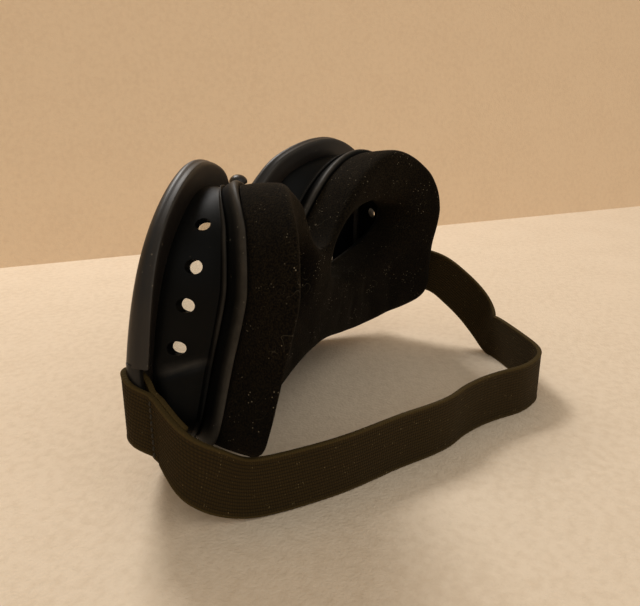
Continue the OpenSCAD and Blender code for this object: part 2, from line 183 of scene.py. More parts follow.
@dataclass(frozen=True)
class FrameShape:
    """The outlines and depths that the rim, wall, flange and pad share."""

    rim_half: float = 92.0
    rim_top: float = 99.0
    brow_half: float = 46.0
    lobe_x: float = 54.5
    notch_z: float = 76.0
    rim_depth: float = 8.0
    rim_proud: float = 8.0
    rim_lip: float = 3.0
    rim_wrap: float = 26.5
    rim_bow: float = 15.0
    bow_z: float = 28.0
    floor_cut: float = 0.5
    lip_half: float = 81.0
    lip_base: float = 15.5
    lip_top: float = 94.5
    lip_brow: float = 44.0
    lip_notch: float = 63.0
    lip_y0: float = 23.0
    lip_wrap: float = 33.0
    lip_rise: float = 9.0
    lip_dip: float = 21.0
    lip_curl: float = 3.0
    lip_arch: float = 8.0
    flange_thick: float = 2.0
    flare_depth: float = 4.0
    flare_out: float = 2.5
    steps: int = 20
    ease: int = 6

    def rim_outline(self) -> Grid:
        """Returns the rim's closed outline, seen from the front."""
        base = -self.floor_cut
        high = self.rim_top - base
        half = [(0, base), (self.brow_half, base),
                (mix(self.brow_half, self.rim_half, 0.56), base + 0.11 * high),
                (self.rim_half - 0.5, base + 0.285 * high), (self.rim_half - 0.5, base + 0.46 * high),
                (self.rim_half - 9.5, base + 0.82 * high), (self.lobe_x, self.rim_top),
                (0.41 * self.lobe_x, self.rim_top - 5), (0, self.notch_z)]
        return smooth_loop(both_halves(half), self.steps, self.ease)

    def lip_outline(self) -> Grid:
        """Returns the face flange's closed outline."""
        low, high = self.lip_base, self.lip_top - self.lip_base
        half = [(0, low + self.lip_arch), (self.lip_brow, low + 0.5),
                (mix(self.lip_brow, self.lip_half, 0.6), low + 0.025 * high),
                (self.lip_half, low + 0.11 * high), (self.lip_half - 4.5, low + 0.4 * high),
                (self.lip_half - 9.5, low + 0.78 * high), (self.lobe_x, self.lip_top),
                (0.53 * self.lobe_x, self.lip_top - 8), (0, self.lip_notch)]
        return smooth_loop(both_halves(half), self.steps, self.ease)

    def rim_y(self, p: Grid) -> Grid:
        """Returns the depth of the rim's front face at points seen from the front."""
        start = -self.rim_depth / 2 - self.rim_bow * (self.bow_z / (self.rim_top - self.bow_z)) ** 2
        lean = (p[:, 1] - self.bow_z) / (self.rim_top - self.bow_z)
        return start + self.rim_wrap * (p[:, 0] / self.rim_half) ** 2 + self.rim_bow * lean ** 2

    def lip_y(self, p: Grid) -> Grid:
        """Returns the depth of the flange's front face at points seen from the front."""
        out = np.abs(p[:, 0]) / self.lip_half
        up = p[:, 1] / self.lip_top
        low = np.maximum(0, 1 - up / 0.72)
        top = np.maximum(0, up - 0.88) / 0.12
        return (self.lip_y0 - self.rim_depth / 2 + self.lip_wrap * out ** 3 + self.lip_rise * up ** 2
                - self.lip_dip * out ** 2 * low ** 1.25 - self.lip_curl * top ** 1.5)

    def rim_middle(self, x: float, z: float) -> float:
        """Returns how far back the middle of the rim's depth lies at a point."""
        return float(self.rim_y(np.array([[x, z]]))[0]) + self.rim_depth / 2

    def on_rim(self, p: Grid, depth: float) -> Grid:
        """Returns the places at depth behind the rim's front face."""
        return np.stack([p[:, 0], self.rim_y(p) + depth, p[:, 1]], 1)

    def on_lip(self, p: Grid, depth: float | Grid) -> Grid:
        """Returns the places at depth behind the flange's front face."""
        return np.stack([p[:, 0], self.lip_y(p) + depth, p[:, 1]], 1)

    def rim_row(self, distance: float, depth: float) -> Grid:
        """Returns the rim's outline moved in by distance and back by depth, above the floor."""
        row = self.on_rim(inset(self.rim_outline(), distance), depth)
        row[:, 2] = np.maximum(row[:, 2], 0)
        return row

    def wall_row(self, t: float, distance: float, start: float) -> Grid:
        """Returns a row of the wall, t of the way from the rim, at depth start, to the ridge."""
        a = self.rim_row(self.rim_proud + distance, start)
        b = self.on_lip(inset(self.lip_outline(), self.flare_out + distance), -self.flare_depth)
        return mix(a, b, np.array([eased(t), t, eased(t)]))


@dataclass(frozen=True)
class EyeOpening:
    """The oval opening for an eye, on the +X side."""

    x: float = 36.5
    z: float = 60.0
    half_length: float = 26.5
    half_height: float = 14.0
    tilt: float = 13.0

    def edge(self, towards: Grid, grow: float) -> Grid:
        """Returns the points of the oval, grown by grow, that lie towards other points."""
        d = towards - np.array([self.x, self.z])
        turn = math.radians(self.tilt)
        a = np.arctan2(d[:, 1], d[:, 0]) - turn
        r = 1 / np.sqrt((np.cos(a) / (self.half_length + grow)) ** 2
                        + (np.sin(a) / (self.half_height + grow)) ** 2)
        return np.stack([self.x + r * np.cos(a + turn), self.z + r * np.sin(a + turn)], 1)

    def loop(self, grow: float) -> Grid:
        """Returns the whole oval as a closed loop."""
        a = np.linspace(0, 2 * math.pi, 300, endpoint=False)
        return self.edge(np.stack([self.x + np.cos(a), self.z + np.sin(a)], 1), grow)


# ---- Working on meshes by hand ----


def deselect() -> None:
    """Leaves edit mode and deselects every object."""
    if bpy.context.mode != "OBJECT":
        bpy.ops.object.mode_set(mode="OBJECT")
    bpy.ops.object.select_all(action="DESELECT")


def activate(obj: Piece) -> None:
    """Selects one object alone and makes it active."""
    deselect()
    obj.select_set(True)
    bpy.context.view_layer.objects.active = obj


@contextmanager
def editing(obj: Piece, everything: bool = True) -> Iterator[None]:
    """Opens an object in edit mode, all of it selected or none."""
    activate(obj)
    bpy.ops.object.mode_set(mode="EDIT")
    if everything:
        bpy.ops.mesh.select_all(action="SELECT")
    yield
    bpy.ops.object.mode_set(mode="OBJECT")


def points_of(obj: Piece) -> Grid:
    """Returns a mesh's vertices in metres, one a row."""
    co = np.empty(len(obj.data.vertices) * 3, np.float32)
    obj.data.vertices.foreach_get("co", co)
    return co.reshape(-1, 3).astype(float)


def put_points(obj: Piece, points: Grid) -> None:
    """Writes a mesh's vertices, given in metres."""
    obj.data.vertices.foreach_set("co", points.astype(np.float32).ravel())
    obj.data.update()


def put_row(obj: Piece, first: int, row: Grid) -> None:
    """Places the vertices from number first on along a row given in millimetres."""
    points = points_of(obj)
    points[first:first + len(row)] = row * MM
    put_points(obj, points)


def pick(obj: Piece, chosen: Grid) -> None:
    """Selects the chosen vertices, and the edges and faces that have no others."""
    obj.data.vertices.foreach_set("select", chosen)
    for part in (obj.data.edges, obj.data.polygons):
        part.foreach_set("select", [all(chosen[v] for v in item.vertices) for item in part])


def extruded(name: str, rows: Sequence[Grid], ring: bool = False, caps: bool = False,
             angle: float | None = None) -> Piece:
    """Draws a closed loop of points out from row to row.

    Args:
        name: The new piece's name.
        rows: Loops with the same number of points, in millimetres.
        ring: Joins the last row to the first.
        caps: Fills the first and the last row.
        angle: Shades it smooth at edges of less than this, in degrees.

    Returns:
        The new mesh object, with its place in its mesh.
    """
    count = len(rows[0])
    deselect()
    bpy.ops.mesh.primitive_circle_add(vertices=count, radius=0.01)
    obj = bpy.context.object
    obj.name = obj.data.name = name
    put_row(obj, 0, rows[0])
    for k, row in enumerate([*rows[1:], rows[0]] if ring else rows[1:], 1):
        with editing(obj, everything=False):
            bpy.ops.mesh.extrude_region_move()
        put_row(obj, k * count, row)
    if caps:
        numbers = np.arange(len(obj.data.vertices))
        for first in (0, len(numbers) - count):
            pick(obj, (numbers >= first) & (numbers < first + count))
            with editing(obj, everything=False):
                bpy.ops.mesh.edge_face_add()
    if ring or caps:
        tidy(obj)
    if angle:
        smooth(obj, angle)
    return obj


def tidy(obj: Piece) -> None:
    """Merges doubled vertices and turns the faces outwards."""
    with editing(obj):
        bpy.ops.mesh.remove_doubles(threshold=1e-6)
        bpy.ops.mesh.normals_make_consistent(inside=False)


def modify(obj: Piece, kind: str, **settings: object) -> None:
    """Adds a modifier with these settings and applies it."""
    made = obj.modifiers.new(kind.lower(), kind)
    for key, value in settings.items():
        setattr(made, key, value)
    activate(obj)
    bpy.ops.object.modifier_apply(modifier=made.name)


def smooth(obj: Piece, angle: float) -> None:
    """Shades a piece smooth where its faces meet at less than angle degrees."""
    activate(obj)
    bpy.ops.object.shade_smooth_by_angle(angle=math.radians(angle))


def cut(obj: Piece, tools: Sequence[Piece]) -> None:
    """Cuts the tools out of a piece and removes them."""
    for tool in tools:
        modify(obj, "BOOLEAN", operation="DIFFERENCE", solver="EXACT", object=tool)
        bpy.data.objects.remove(tool)


def join(pieces: Sequence[Piece]) -> Piece:
    """Joins pieces into the first of them."""
    deselect()
    for piece in pieces:
        piece.select_set(True)
    bpy.context.view_layer.objects.active = pieces[0]
    bpy.ops.object.join()
    return pieces[0]


def lumps(obj: Piece, size: float, height: float, seed: float = 0.0) -> None:
    """Moves a surface in and out by soft lumps of that size and height, in millimetres."""
    points = points_of(obj)
    normals = np.empty(len(obj.data.vertices) * 3, np.float32)
    obj.data.vertices.foreach_get("normal", normals)
    shift = [noise.noise(Vector(p / (size * MM)) + Vector((seed, 0.5 * seed, 0))) for p in points]
    put_points(obj, points + normals.reshape(-1, 3) * np.array(shift)[:, None] * height * MM)


# ---- Shader maths and finishes ----


def linear(r: int, g: int, b: int) -> Rgb:
    """Returns a screen colour, 0 to 255, as the shader's linear values."""
    return tuple(c / 255 / 12.92 if c < 10.3 else ((c / 255 + 0.055) / 1.055) ** 2.4 for c in (r, g, b))


class Value:
    """A node's output; arithmetic on it adds Math nodes."""

    def __init__(self, tree: bpy.types.NodeTree, socket: bpy.types.NodeSocket) -> None:
        """Keeps the output and the tree that it is in."""
        self.tree = tree
        self.socket = socket

    def math(self, operation: str, other: "Value | float | None" = None, swap: bool = False) -> "Value":
        """Adds a Math node on this value.

        Args:
            operation: The node's operation.
            other: The second number or value.
            swap: Puts other first.

        Returns:
            The node's result.
        """
        node = self.tree.nodes.new("ShaderNodeMath")
        node.operation = operation
        for k, item in enumerate((other, self) if swap else (self, other)):
            if isinstance(item, Value):
                self.tree.links.new(item.socket, node.inputs[k])
            elif item is not None:
                node.inputs[k].default_value = item
        return Value(self.tree, node.outputs[0])

    def __add__(self, other: "Value | float") -> "Value":
        """Returns the sum."""
        return self.math("ADD", other)

    __radd__ = __add__

    def __sub__(self, other: "Value | float") -> "Value":
        """Returns the difference."""
        return self.math("SUBTRACT", other)

    def __rsub__(self, other: float) -> "Value":
        """Returns other less this value."""
        return self.math("SUBTRACT", other, swap=True)

    def __mul__(self, other: "Value | float") -> "Value":
        """Returns the product."""
        return self.math("MULTIPLY", other)

    __rmul__ = __mul__

    def sin(self) -> "Value":
        """Returns the sine."""
        return self.math("SINE")

    def abs(self) -> "Value":
        """Returns the size without its sign."""
        return self.math("ABSOLUTE")

    def between(self, low: float, high: float) -> "Value":
        """Returns 0 below low and 1 above high, with a smooth step between; high may be the lower."""
        node = self.tree.nodes.new("ShaderNodeMapRange")
        node.interpolation_type = "SMOOTHSTEP"
        self.tree.links.new(self.socket, node.inputs["Value"])
        for key, number in (("From Min", low), ("From Max", high)):
            node.inputs[key].default_value = number
        return Value(self.tree, node.outputs[0])


class Shader:
    """A material under construction round one Principled shader."""

    def __init__(self, name: str, coordinates: Coordinates = Coordinates.PLACE) -> None:
        """Starts a material whose patterns lie on the given coordinates."""
        self.material = bpy.data.materials.new(name)
        self.material.use_nodes = True
        self.tree = self.material.node_tree
        self.surface = self.tree.nodes["Principled BSDF"]
        self.where = self.node("ShaderNodeTexCoord", out=coordinates.value)

    def feed(self, socket: bpy.types.NodeSocket, value: "Value | float | Sequence[float]") -> None:
        """Links a value into a socket, or writes a number or colour on it."""
        if isinstance(value, Value):
            self.tree.links.new(value.socket, socket)
        elif isinstance(value, (int, float)):
            socket.default_value = value
        else:
            socket.default_value = (*value, 1.0) if socket.type == "RGBA" else value

    def node(self, kind: str, settings: dict[str, object] | None = None,
             inputs: dict[str | int, object] | None = None, out: str | int = 0) -> Value:
        """Adds a node.

        Args:
            kind: The node's type.
            settings: Properties that are set first.
            inputs: Values or links of its sockets.
            out: The output that is wanted.

        Returns:
            That output.
        """
        made = self.tree.nodes.new(kind)
        for key, setting in (settings or {}).items():
            setattr(made, key, setting)
        for key, value in (inputs or {}).items():
            self.feed(made.inputs[key], value)
        return Value(self.tree, made.outputs[out])

    def stretched(self, scale: Spot) -> Value:
        """Returns the coordinates stretched by scale."""
        return self.node("ShaderNodeMapping", inputs={"Vector": self.where, "Scale": scale})

    def noise(self, scale: float, detail: float = 2.0, vector: Value | None = None) -> Value:
        """Returns soft noise from 0 to 1, with scale lumps a metre."""
        return self.node("ShaderNodeTexNoise", inputs={
            "Vector": vector or self.where, "Scale": scale, "Detail": detail})

    def cells(self, scale: float) -> Value:
        """Returns the distance to the middle of scattered cells, with scale cells a metre."""
        return self.node("ShaderNodeTexVoronoi", inputs={"Vector": self.where, "Scale": scale})

    def axis(self, letter: str) -> Value:
        """Returns one of the coordinates."""
        return self.node("ShaderNodeSeparateXYZ", inputs={0: self.where}, out=letter)

    def blend(self, a: "Value | Rgb", b: "Value | Rgb", factor: Value) -> Value:
        """Returns colour a turning to colour b with the factor."""
        return self.node("ShaderNodeMix", {"data_type": "RGBA"}, {0: factor, 6: a, 7: b}, out=2)

    def finish(self, colour: "Value | Rgb", rough: "Value | float", height: Value | None = None,
               distance: float = 0.0001, **constants: float | Sequence[float]) -> Material:
        """Feeds the surface.

        Args:
            colour: The base colour.
            rough: The roughness.
            height: What the bump follows.
            distance: How high the bump stands, in metres.
            constants: Other sockets of the surface, with _ for each space.

        Returns:
            The finished material.
        """
        self.feed(self.surface.inputs["Base Color"], colour)
        self.feed(self.surface.inputs["Roughness"], rough)
        if height is not None:
            bump = self.node("ShaderNodeBump", inputs={"Strength": 1.0, "Distance": distance,
                                                       "Height": height})
            self.feed(self.surface.inputs["Normal"], bump)
        for key, value in constants.items():
            self.feed(self.surface.inputs[key.replace("_", " ")], value)
        return self.material


@dataclass(frozen=True)
class Moulded:
    """A black soft moulding with a fine skin, faint scuffs, a little dust and a painted highlight along
    marked edges.
    """

    name: str
    colour: Rgb
    scuffed: Rgb
    rough: float = 0.4
    shine: float = 0.3
    scuffs: float = 0.5
    dust: float = 0.35
    grain: float = 0.00003
    # edge is the colour of the painted highlight on marked edges.
    edge: Rgb = linear(74, 68, 60)

    def material(self) -> Material:
        """Returns the finish as a material."""
        s = Shader(self.name)
        patches = s.noise(38.0, 4.0).between(0.42, 0.68)
        streaks = s.noise(140.0, 3.0, s.stretched((0.5, 0.5, 3.0))).between(0.6, 0.74) * patches
        painted_highlight = s.node("ShaderNodeAttribute", {"attribute_name": "painted_highlight"}, out="Fac")
        specks = s.cells(420.0).between(0.13, 0.08) * s.noise(60.0, 2.0).between(0.52, 0.62)
        marked = (patches * 0.35 + streaks * self.scuffs) * 0.9
        colour = s.blend(self.colour, self.scuffed, marked)
        # Marked edges are painted lighter, as a highlight.
        colour = s.blend(colour, self.edge, painted_highlight * (s.noise(320.0, 3.0) * 0.8 + 0.3))
        colour = s.blend(colour, linear(150, 140, 122), specks * self.dust)
        rough = s.noise(90.0, 3.0) * 0.16 + (self.rough - 0.08) + specks * 0.3
        height = s.noise(2600.0, 2.0) * 0.6 + s.noise(55.0, 1.0) * 2.4
        return s.finish(colour, rough, height, self.grain, Specular_IOR_Level=self.shine)


@dataclass(frozen=True)
class Clear:
    """The clear polished lens."""

    name: str = "lens_clear"
    tint: Rgb = (0.93, 0.95, 0.94)

    def material(self) -> Material:
        """Returns the finish as a material."""
        s = Shader(self.name)
        rough = s.noise(30.0, 3.0).between(0.5, 0.8) * 0.03 + 0.012
        return s.finish(self.tint, rough, Transmission_Weight=1.0, IOR=1.5, Specular_IOR_Level=0.5)


@dataclass(frozen=True)
class Foam:
    """Fine open-celled foam, its pores painted darker as shade inside them."""

    name: str = "pad_foam"
    colour: Rgb = linear(38, 37, 36)

    def material(self) -> Material:
        """Returns the finish as a material."""
        s = Shader(self.name)
        pores = s.cells(1400.0).between(0.1, 0.55)
        # The pores are painted darker, as shade inside them.
        colour = s.blend(linear(16, 15, 15), self.colour, pores)
        return s.finish(colour, 0.95, pores, 0.0002)


@dataclass(frozen=True)
class Velour:
    """Black brushed velour that has caught lint; its pile is painted in lit and shaded tones, lighter
    towards the top as if lit from above.
    """

    name: str = "velour"
    deep: Rgb = linear(5, 4, 3)
    lit: Rgb = linear(38, 31, 20)
    lint: Rgb = linear(165, 152, 128)

    def material(self) -> Material:
        """Returns the finish as a material."""
        s = Shader(self.name)
        pile = s.noise(1900.0, 3.0)
        brushed = s.noise(70.0, 3.0, s.stretched((1.0, 1.0, 0.4)))
        # Painted light: the pile is painted lighter towards the top, as if lit from above.
        up = s.axis("Z").between(0.02, 0.09)
        lit = pile.between(0.3, 0.75) * (brushed * 0.9 + 0.15) * (up * 0.7 + 0.6)
        colour = s.blend(self.deep, self.lit, lit)
        dirty = s.noise(34.0, 2.0).between(0.38, 0.58)
        dots = s.cells(760.0).between(0.19, 0.07) * s.noise(190.0, 1.0).between(0.52, 0.62)
        bent = s.node("ShaderNodeVectorMath", {"operation": "MULTIPLY_ADD"},
                      {0: s.node("ShaderNodeTexNoise", inputs={"Vector": s.where, "Scale": 90.0,
                                                               "Detail": 1.0}, out=1),
                       1: (0.012, 0.012, 0.012), 2: s.where})
        line = (s.noise(260.0, 0.0, bent) - 0.5).abs().between(0.006, 0.002)
        hairs = line * s.noise(120.0, 0.0).between(0.6, 0.66) * dirty
        colour = s.blend(colour, self.lint, dots * (dirty * 0.45 + 0.2) + hairs * 0.14)
        height = pile + brushed * 1.2
        return s.finish(colour, 0.95, height, 0.00025, Sheen_Weight=0.15, Sheen_Roughness=0.45,
                        Sheen_Tint=linear(110, 96, 76), Specular_IOR_Level=0.06)


@dataclass(frozen=True)
class Elastic:
    """Ribbed olive elastic: lengthwise ribs with painted shade in their valleys, fine cross yarns, painted
    glints on threads, pale edges.
    """

    name: str = "elastic"
    width: float = 0.020
    ribs: int = 18
    deep: Rgb = linear(22, 15, 4)
    yarn: Rgb = linear(62, 47, 18)
    glint: Rgb = linear(168, 148, 104)

    def material(self) -> Material:
        """Returns the finish as a material."""
        s = Shader(self.name, Coordinates.CLOTH)
        across, along = s.axis("X"), s.axis("Y")
        rib = (across * (math.pi * self.ribs / self.width)).sin().abs()
        wobble = s.noise(160.0, 1.0, s.stretched((1.0, 0.4, 1.0))) * 2.2
        step = (across * (self.ribs / self.width)).math("FLOOR") * math.pi * 0.5
        yarns = ((along * (2 * math.pi / 0.0008)) + step + wobble).sin() * 0.5 + 0.5
        fuzz = s.noise(2400.0, 2.0, s.stretched((1.0, 0.6, 1.0)))
        # The rib valleys are painted dark, as shade in them.
        tone = rib.between(-0.3, 0.9) * (yarns * 0.3 + 0.45) * (fuzz * 0.8 + 0.6)
        faded = s.noise(26.0, 3.0, s.stretched((1.6, 1.0, 1.0)))
        edge = (across - self.width / 2).abs().between(0.42 * self.width, 0.485 * self.width)
        colour = s.blend(self.deep, self.yarn, tone * (faded * 0.5 + 0.7))
        colour = s.blend(colour, linear(84, 68, 34), edge * 0.5)
        # Painted glints: scattered spots on the yarns are painted pale, as highlights.
        glint_spots = s.cells(1300.0).between(0.26, 0.1) * s.noise(300.0, 2.0).between(0.56, 0.66)
        colour = s.blend(colour, self.glint, glint_spots * yarns * 0.75)
        height = rib * 0.6 + yarns * 0.45 + fuzz * 0.4
        return s.finish(colour, 0.85 - glint_spots * 0.3, height, 0.00018, Sheen_Weight=0.08,
                        Sheen_Tint=linear(150, 130, 90), Specular_IOR_Level=0.15)


@dataclass(frozen=True)
class Thread:
    """Twisted sewing thread."""

    name: str = "thread"
    colour: Rgb = linear(50, 40, 19)

    def material(self) -> Material:
        """Returns the finish as a material."""
        s = Shader(self.name)
        twist = s.noise(3000.0, 2.0)
        return s.finish(s.blend(linear(26, 20, 8), self.colour, twist), 0.8, twist, 0.0001)


@dataclass(frozen=True)
class Ground:
    """The pale cloth-like floor or backdrop."""

    name: str
    colour: Rgb
    shade: Rgb
    glow: float = 0.0

    def material(self) -> Material:
        """Returns the finish as a material."""
        s = Shader(self.name)
        felt = s.noise(300.0, 3.0) * 0.7 + s.noise(30.0, 3.0) * 0.3
        return s.finish(s.blend(self.shade, self.colour, felt.between(0.3, 0.62)), 0.95,
                        s.noise(900.0, 2.0), 0.0003, Specular_IOR_Level=0.1,
                        Emission_Color=self.colour, Emission_Strength=self.glow)


RUBBER = Moulded("frame_rubber", linear(20, 15, 11), linear(44, 35, 26), 0.45, 0.4)
WALL = Moulded("wall_rubber", linear(4, 4, 3), linear(13, 13, 11), 0.5, 0.1, 0.3, 0.25)
SEAL = Moulded("seal_rubber", linear(10, 10, 10), linear(22, 21, 20), 0.6, 0.2, 0.2, 0.1)
STUD = Moulded("stud_plastic", linear(16, 11, 7), linear(44, 34, 24), 0.3, 0.4, 0.4, 0.2)
BAR = Moulded("bar_plastic", linear(20, 19, 18), linear(44, 40, 36), 0.35, 0.3, 0.4, 0.2)


def paint_highlight(obj: Piece, painted_highlight: Grid) -> None:
    """Marks how strong a painted highlight each vertex has, from 0 to 1, for the finish to read."""
    layer = obj.data.attributes.new("painted_highlight", "FLOAT", "POINT")
    layer.data.foreach_set("value", painted_highlight.astype(np.float32))


def dress(obj: Piece, material: Material) -> None:
    """Gives a piece its material."""
    obj.data.materials.clear()
    obj.data.materials.append(material)


def settle(obj: Piece, material: Material, node: str, ride: bool = True) -> None:
    """Dresses a piece and puts it in the place of its CAD node.

    Args:
        obj: The piece.
        material: Its material.
        node: The CAD node that the piece replaces.
        ride: Puts it on the frame; otherwise the piece is left off it.
    """
    dress(obj, material)
    if ride:
        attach(obj, "frame")
    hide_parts(node)
    LOG.info("%s: %d faces", obj.name, len(obj.data.polygons))


# ---- The goggles ----


@dataclass
class FrontRim:
    """The rim with its lens, lens seal, nose stud and strap bars."""

    shape: FrameShape
    bar_gap: float = 3.6
    bar_r: float = 2.2
    bar_in: float = 3.2
    thinned: float = 3.2
    strap_low: float = 25.0
    strap_width: float = 20.0
    lens_front: float = 2.2
    lens_thick: float = 1.8
    lens_bite: float = 2.6
    # The seal widens at the temples into a dark band that stands in for shade seen through the lens.
    seal_shade_width: float = 24.5
    seal_aim: Flat = (36.0, 52.0)
    seal_shade_widens: Flat = (34.0, 80.0)
    stud_d: float = 7.0
    stud_h: float = 12.0

    @property
    def lens_in(self) -> float:
        """How far in from the rim's outline the lens's edge lies."""
        return self.shape.rim_proud + self.shape.rim_lip - self.lens_bite

    def section(self) -> list[Flat]:
        """Returns the rim's section as pairs of inset and depth, round the corners."""
        inner = self.shape.rim_proud + self.shape.rim_lip
        back = self.shape.rim_depth
        groove = self.lens_in - SEAT
        side = [(inner, 0.7), (inner - 0.25, 0.2), (inner - 0.8, 0), (7.5, -0.12), (4.5, -0.1),
                (2.2, 0.05), (1.1, 0.4), (0.45, 1.0), (0.12, 1.9), (0, 3.0), (0.03, 3.8),
                (0.22, 4.5), (0.42, 5.6), (0.5, 6.7), (0.62, 7.3), (0.95, 7.75), (1.5, 7.95),
                (2.4, back), (4.5, back), (6.8, back - 0.05), (9.0, back), (inner - 0.5, back),
                (inner - 0.1, back - 0.15), (inner, back - 0.6)]
        low = self.lens_front
        high = low + self.lens_thick + 1.2 + 2 * SEAT
        return [*side, (inner, high), (groove, high), (groove, low), (inner, low)]

    def row(self, distance: float, depth: float) -> Grid:
        """Returns a row of the rim, whose outer edge thins towards the tops of its lobes."""
        row = self.shape.rim_row(distance, depth)
        near = max(0.0, 1 - distance / 7.5) * min(1.0, max(0.0, depth / self.shape.rim_depth))
        row[:, 1] -= self.thinned * near * eased(ramp(row[:, 2], 50, 92))
        return row

    def rim(self) -> Piece:
        """Builds the rim, cuts the two windows that the strap bars cross, and paints a highlight along its
        upper outer edge.
        """
        obj = extruded("rim", [self.row(d, y) for d, y in self.section()], ring=True)
        depth = self.shape.rim_proud + 1.5
        high = self.strap_width + 2 * self.bar_gap
        tools = []
        for side in Side:
            deselect()
            bpy.ops.mesh.primitive_cube_add(size=1)
            box = bpy.context.object
            middle = self.shape.rim_half + 2 - depth / 2
            y = self.bar_place(side)[1]
            size = np.array([depth, 3 * self.shape.rim_depth, high])
            place = np.array([side.value * middle, y, self.strap_low + self.strap_width / 2])
            put_points(box, (points_of(box) * size + place) * MM)
            modify(box, "BEVEL", width=1.6 * MM, segments=4)
            tools.append(box)
        cut(obj, tools)
        smooth(obj, 32)
        # The rim's outer rear edge is painted lighter towards the top, as a highlight from light above.
        seen = points_of(obj)[:, [0, 2]] / MM
        deep = points_of(obj)[:, 1] / MM - self.shape.rim_y(seen)
        edge = band(nearest(seen, self.shape.rim_outline()), 1.0, 0.7)
        paint_highlight(obj, edge * (deep > 3.5) * ramp(seen[:, 1], 30, 80) * 0.6)
        return obj

    def seal(self) -> Piece:
        """Builds the seal behind the lens, which widens towards the temples into a dark band that stands in
        for the shade seen through the lens there.
        """
        outline = self.shape.rim_outline()
        x, z = self.seal_aim
        aims = np.stack([x * np.sign(outline[:, 0]), np.full(len(outline), z)], 1)
        widest = outline + self.seal_shade_width * unit(aims - outline)
        wide = eased(ramp(np.abs(outline[:, 0]), *self.seal_shade_widens))[:, None]
        inner = mix(inset(outline, self.lens_in + self.lens_bite), widest, wide)
        outer = inset(outline, self.lens_in)
        back = self.lens_front + self.lens_thick + 2 * SEAT
        rows = [self.shape.on_rim(p, y) for p, y in
                ((outer, back), (inner, back), (inner, back + 0.6), (outer, back + 0.85))]
        return extruded("seal", rows, ring=True, angle=40)

    def bar_place(self, side: Side) -> Flat:
        """Returns where a strap bar stands, across and back."""
        x = self.shape.rim_half - self.bar_in
        return side.value * x, self.shape.rim_middle(x, self.strap_low + self.strap_width / 2)

    def bar(self, side: Side) -> Piece:
        """Builds the round bar that a strap end is folded round."""
        x, y = self.bar_place(side)
        low = self.strap_low + 0.3
        high = self.strap_low + self.strap_width + self.bar_gap + 0.8
        rows = [disc(x, y, z, self.bar_r - less, 36)
                for less, z in ((0.7, low), (0.2, low + 0.2), (0, low + 0.7), (0, high))]
        return extruded(f"bar_{side.name.lower()}", rows, caps=True, angle=40)

    def lens(self) -> Piece:
        """Builds the curved lens as a sheet with a thickness."""
        edge = inset(self.shape.rim_outline(), self.lens_in)
        middle = np.array([0, (self.shape.rim_top + self.shape.notch_z) / 4])
        shares = (0.03, 0.1, 0.2, 0.3, 0.41, 0.52, 0.63, 0.74, 0.84, 0.92, 0.98, 1)
        front = [self.shape.on_rim(mix(middle, edge, share), self.lens_front + SEAT) for share in shares]
        back = [row + np.array([0, self.lens_thick, 0]) for row in front[::-1]]
        return extruded("lens_pane", [*front, *back], caps=True, angle=50)

    def stud(self) -> Piece:
        """Builds the round-headed stud at the bottom of the nose notch."""
        y = self.shape.rim_middle(0, self.shape.notch_z)
        stem, head, r = 0.275 * self.stud_d, 0.4 * self.stud_d, self.stud_d / 2
        low = self.stud_h - head
        turned = [(0.3, -0.4), (stem + 0.9, -0.4), (stem + 0.3, 0.3), (stem, 1.0), (stem, low - 1.3),
                  (stem + 0.4, low - 0.95), (r - 0.35, low - 0.6), (r - 0.05, low - 0.35)]
        turned += [(r * math.cos(a), low + head * math.sin(a)) for a in np.linspace(0, 1.5, 14)]
        foot = self.shape.notch_z + 2 * SEAT
        return extruded("stud", [disc(0, y, foot + z, r, 40) for r, z in turned], caps=True, angle=40)

    def build(self) -> None:
        """Makes the rim's pieces, dresses them and puts them on the frame."""
        settle(self.rim(), RUBBER.material(), "outer_rim")
        settle(self.lens(), Clear().material(), "lens")
        settle(self.stud(), STUD.material(), "nose_stud")
        settle(self.seal(), SEAL.material(), "lens_seal")
        finish = BAR.material()
        for side in Side:
            settle(self.bar(side), finish, f"strap_bar_{side.name.lower()}")


